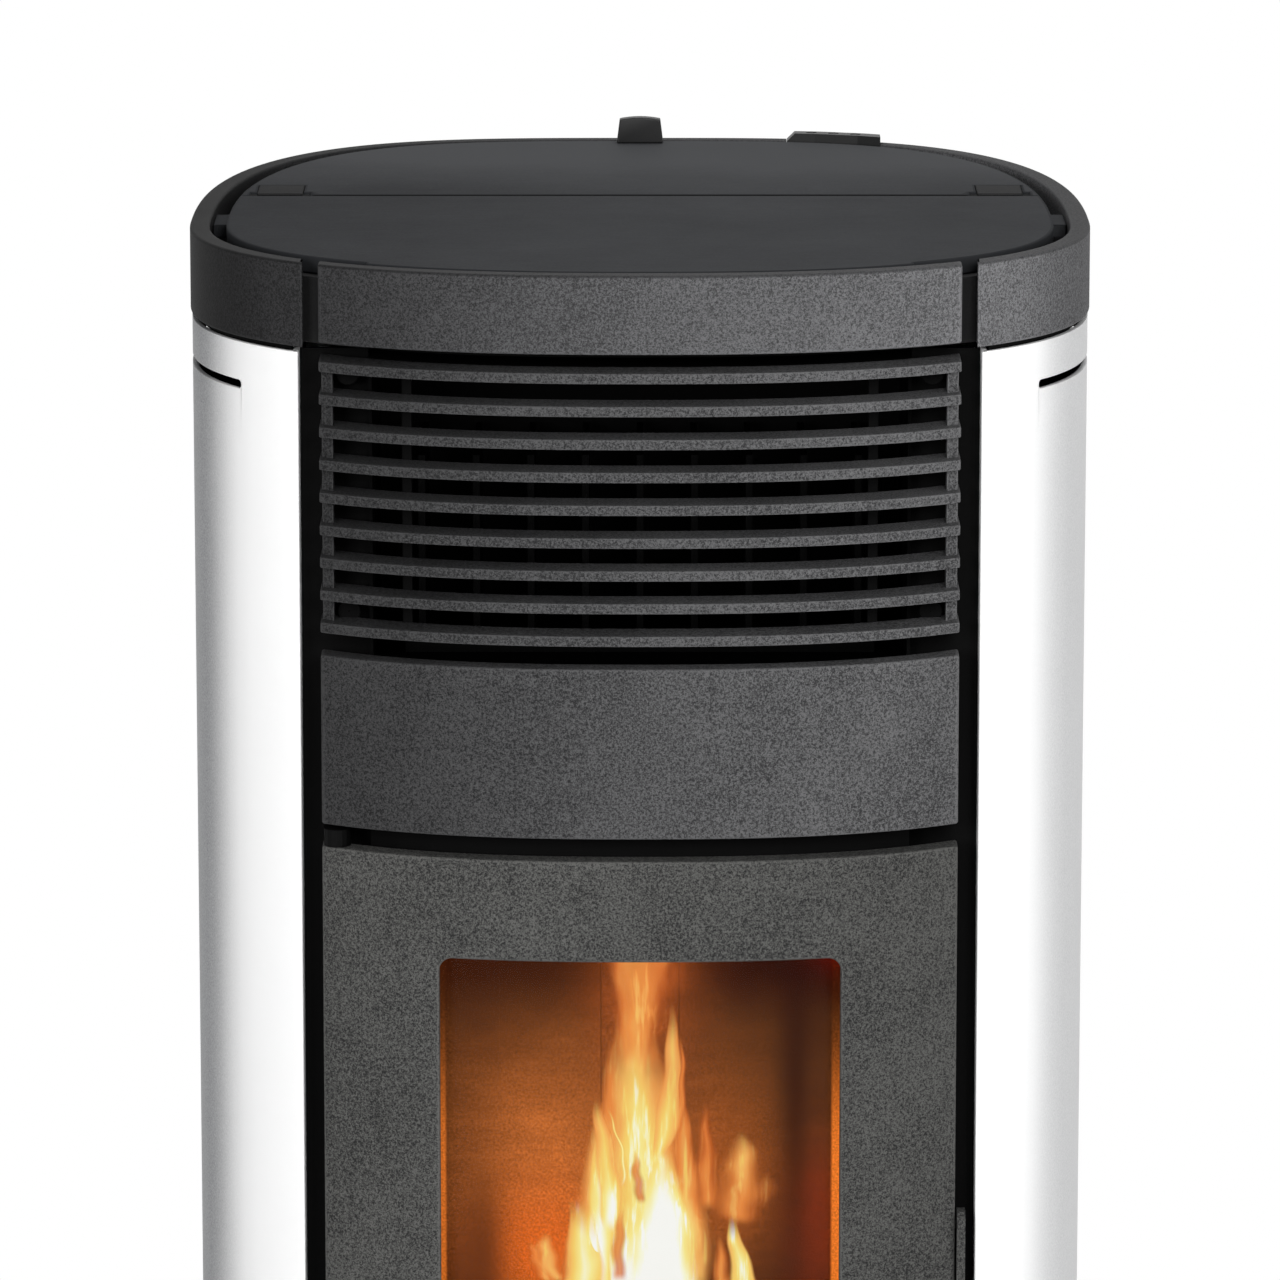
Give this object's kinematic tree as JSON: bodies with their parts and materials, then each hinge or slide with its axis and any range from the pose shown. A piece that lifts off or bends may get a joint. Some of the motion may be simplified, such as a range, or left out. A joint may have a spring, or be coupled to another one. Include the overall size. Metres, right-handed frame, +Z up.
{
  "type": "pellet stove",
  "caption": "Free-standing pellet stove with a cast front and crown, white side panels, curved grille, glazed door, hinged hopper lid and ash drawer.",
  "frame": {"origin": "on the floor, under the middle of the stove's width and depth", "axes": "+Z up, -Y towards the front with the door and grille, +X to the right as seen from the front, so the door hinges are at -X and the handle at +X"},
  "size_m": [0.543, 0.555, 1.122],
  "materials": {
    "cast_iron": "fine sandblasted grain, dark grey stove paint",
    "top_plate": "satin dark grey paint on flat plate",
    "white_panel": "smooth satin white enamel",
    "black_steel": "matt black heat-resistant paint",
    "raw_steel": "plain sheet steel",
    "steel": "turned and rolled steel",
    "window": "clear ceramic glass",
    "rope_seal": "woven glass-fibre rope",
    "lining": "dense vermiculite board, sooted",
    "plastic": "black moulded plastic"
  },
  "bodies": {
    "stove": {"foot_front_left": "plastic", "foot_front_right": "plastic", "foot_rear_left": "plastic", "foot_rear_right": "plastic", "base_plate": "black_steel", "side_frame_left": "black_steel", "side_frame_right": "black_steel", "side_panel_left": "white_panel", "side_panel_right": "white_panel", "crown": "cast_iron", "crown_fascia": "cast_iron", "top_deck": "black_steel", "top_plate": "top_plate", "lid_hinge_bracket_left": "black_steel", "lid_hinge_bracket_right": "black_steel", "hopper": "raw_steel", "lid_gasket": "rope_seal", "auger_tube": "raw_steel", "auger_motor": "raw_steel", "warm_air_grille": "cast_iron", "middle_fascia": "cast_iron", "lower_fascia": "cast_iron", "warm_air_hood": "black_steel", "heat_exchanger": "raw_steel", "firebox": "black_steel", "firebox_lining": "lining", "baffle_plate": "lining", "burn_pot_holder": "raw_steel", "igniter": "steel", "door_hinge_top": "black_steel", "door_hinge_bottom": "black_steel", "exhaust_fan_housing": "raw_steel", "exhaust_motor": "raw_steel", "flue_spigot": "raw_steel", "room_fan_housing": "raw_steel", "air_inlet_pipe": "raw_steel", "rear_panel": "black_steel", "power_inlet": "plastic", "control_board": "plastic", "control_panel": "plastic"},
    "hopper_lid": {"hopper_lid": "top_plate", "lid_hinge_block_left": "cast_iron", "lid_hinge_block_right": "cast_iron", "lid_knob": "plastic"},
    "door": {"door_casting": "cast_iron", "door_glass": "window", "glass_retainer": "black_steel", "door_gasket": "rope_seal"},
    "door_handle": {"door_handle": "cast_iron"},
    "ash_drawer": {"ash_drawer_front": "cast_iron", "ash_drawer_pan": "raw_steel"},
    "burn_pot": {"burn_pot": "cast_iron"},
    "auger": {"auger_screw": "steel"},
    "exhaust_rotor": {"exhaust_impeller": "steel"},
    "room_rotor": {"room_fan_rotor": "plastic"},
    "rocker": {"rocker_switch": "plastic"},
    "reset": {"reset_button": "plastic"},
    "button_1": {"control_button_1": "plastic"},
    "button_2": {"control_button_2": "plastic"},
    "button_3": {"control_button_3": "plastic"}
  },
  "joints": [
    {"name": "lid_hinge", "type": "hinge", "parent": "stove", "child": "hopper_lid", "pos_m": [0, 0.035, 1.1012], "axis": [1, 0, 0], "range_deg": [0, 95]},
    {"name": "door_hinge", "type": "hinge", "parent": "stove", "child": "door", "pos_m": [-0.1795, -0.2321, 0.53], "axis": [0, 0, -1], "range_deg": [0, 110]},
    {"name": "handle_pivot", "type": "hinge", "parent": "door", "child": "door_handle", "pos_m": [0.19, -0.222, 0.5199], "axis": [-1, 0, 0], "range_deg": [0, 35]},
    {"name": "drawer_slide", "type": "slide", "parent": "stove", "child": "ash_drawer", "axis": [0, -1, 0], "range_m": [0, 0.18]},
    {"name": "burn_pot_lift", "type": "slide", "parent": "stove", "child": "burn_pot", "axis": [0, 0, 1], "range_m": [0, 0.06]},
    {"name": "auger_spin", "type": "hinge", "parent": "stove", "child": "auger", "pos_m": [0, 0.138, 0.4], "axis": [0, -0.342, 0.9397], "continuous": true},
    {"name": "exhaust_spin", "type": "hinge", "parent": "stove", "child": "exhaust_rotor", "pos_m": [-0.09, 0.04, 0.0923], "axis": [0, 1, 0], "continuous": true},
    {"name": "room_fan_spin", "type": "hinge", "parent": "stove", "child": "room_rotor", "pos_m": [0.08, 0.11, 0.0863], "axis": [1, 0, 0], "continuous": true},
    {"name": "rocker_pivot", "type": "hinge", "parent": "stove", "child": "rocker", "pos_m": [0.11, 0.2213, 0.1025], "axis": [1, 0, 0], "range_deg": [-7, 7]},
    {"name": "reset_press", "type": "slide", "parent": "stove", "child": "reset", "axis": [0, -1, 0], "range_m": [0, 0.002], "stiffness_N_per_m": 300},
    {"name": "button_1_press", "type": "slide", "parent": "stove", "child": "button_1", "axis": [0, 0, -1], "range_m": [0, 0.001], "stiffness_N_per_m": 200},
    {"name": "button_2_press", "type": "slide", "parent": "stove", "child": "button_2", "axis": [0, 0, -1], "range_m": [0, 0.001], "stiffness_N_per_m": 200},
    {"name": "button_3_press", "type": "slide", "parent": "stove", "child": "button_3", "axis": [0, 0, -1], "range_m": [0, 0.001], "stiffness_N_per_m": 200}
  ]
}
